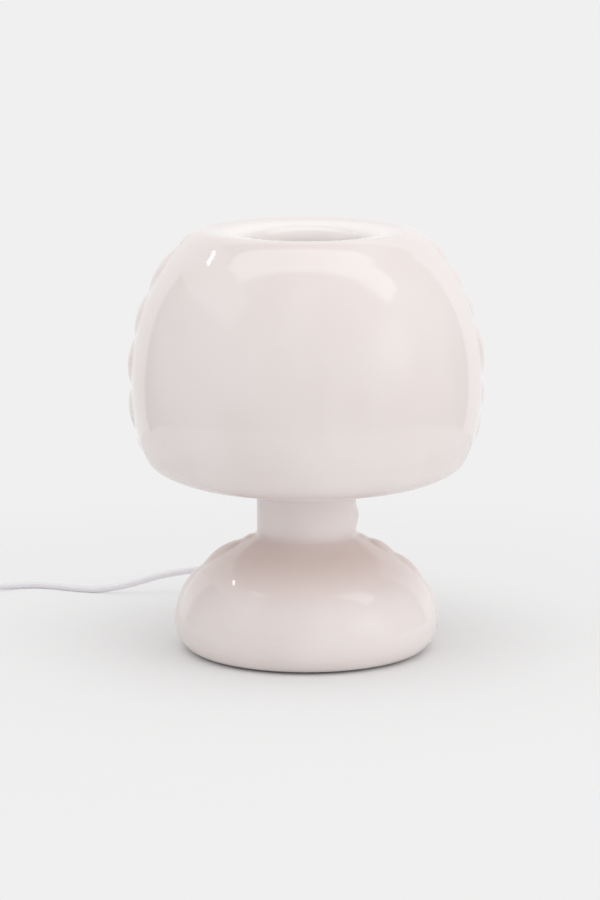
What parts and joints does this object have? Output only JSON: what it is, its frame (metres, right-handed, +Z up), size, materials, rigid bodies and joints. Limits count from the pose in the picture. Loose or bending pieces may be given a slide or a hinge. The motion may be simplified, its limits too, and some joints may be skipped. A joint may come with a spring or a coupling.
{
  "type": "mushroom table lamp",
  "caption": "Mushroom table lamp of glossy blush opal glass with pinched trails down its sides, a rolled-in top opening, and a white cord with an in-line switch and plug.",
  "frame": {"origin": "middle of the base's footprint, on the surface that the lamp stands on", "axes": "+Z up along the lamp's axis, -Y to the front, +Y to the back where the cord leaves, trails at -X and +X"},
  "size_m": [0.4563, 0.3094, 0.3001],
  "materials": {
    "blush_glass": "glossy opal glass with pinched trails",
    "felt": "dense felt",
    "zinc_steel": "zinc-plated, satin",
    "white_steel": "satin white paint",
    "seal_rubber": "soft white silicone",
    "holder_white": "moulded thermoset, satin",
    "contact_brass": "bright",
    "cap_nickel": "nickel-plated sheet",
    "insulator_black": "black vitrite",
    "bulb_white": "glossy white",
    "bulb_opal": "opal",
    "cord_white": "smooth white sheath, satin",
    "switch_white": "moulded, satin gloss",
    "plug_white": "moulded, fine satin",
    "plug_collar_black": "moulded sleeve"
  },
  "bodies": {
    "lamp": {"base_glass": "blush_glass", "base_trails": "blush_glass", "felt_ring": "felt", "base_plate": "white_steel", "base_seal": "seal_rubber", "tube_strap": "zinc_steel", "base_screws": "zinc_steel", "base_nuts": "zinc_steel", "threaded_tube": "zinc_steel", "tube_nuts": "zinc_steel", "tube_washers": "zinc_steel", "neck_seal": "seal_rubber", "neck_cap": "white_steel", "shade_gasket": "seal_rubber", "lampholder_base": "holder_white", "lampholder_shell": "holder_white", "lampholder_insert": "holder_white", "lampholder_contacts": "contact_brass", "cord_gland": "cord_white", "cord_clamp": "holder_white", "inner_lead": "cord_white", "switch_base": "switch_white", "switch_cover": "switch_white", "switch_contacts": "contact_brass", "switch_screws": "zinc_steel", "cord_lamp_run": "cord_white", "cord_coil_run": "cord_white", "cord_tail": "cord_white", "cord_coil": "cord_white", "cord_tie": "switch_white", "plug_body": "plug_white", "plug_pins": "contact_brass", "plug_collars": "plug_collar_black"},
    "shade": {"shade_glass": "blush_glass", "shade_trails": "blush_glass"},
    "bulb": {"bulb_tip": "cap_nickel", "bulb_insulator": "insulator_black", "bulb_cap": "cap_nickel", "bulb_collar": "bulb_white", "bulb_glass": "bulb_opal"},
    "rocker": {"switch_rocker": "switch_white"}
  },
  "joints": [
    {"name": "shade_lift", "type": "slide", "parent": "lamp", "child": "shade", "axis": [0, 0, 1], "range_m": [0, 0.13]},
    {"name": "bulb_lift", "type": "slide", "parent": "lamp", "child": "bulb", "axis": [0, 0, 1], "range_m": [0, 0.135]},
    {"name": "switch_rock", "type": "hinge", "parent": "lamp", "child": "rocker", "pos_m": [-0.286, 0.115, 0.013], "axis": [0.848, -0.5299, 0], "range_deg": [0, 14]}
  ]
}
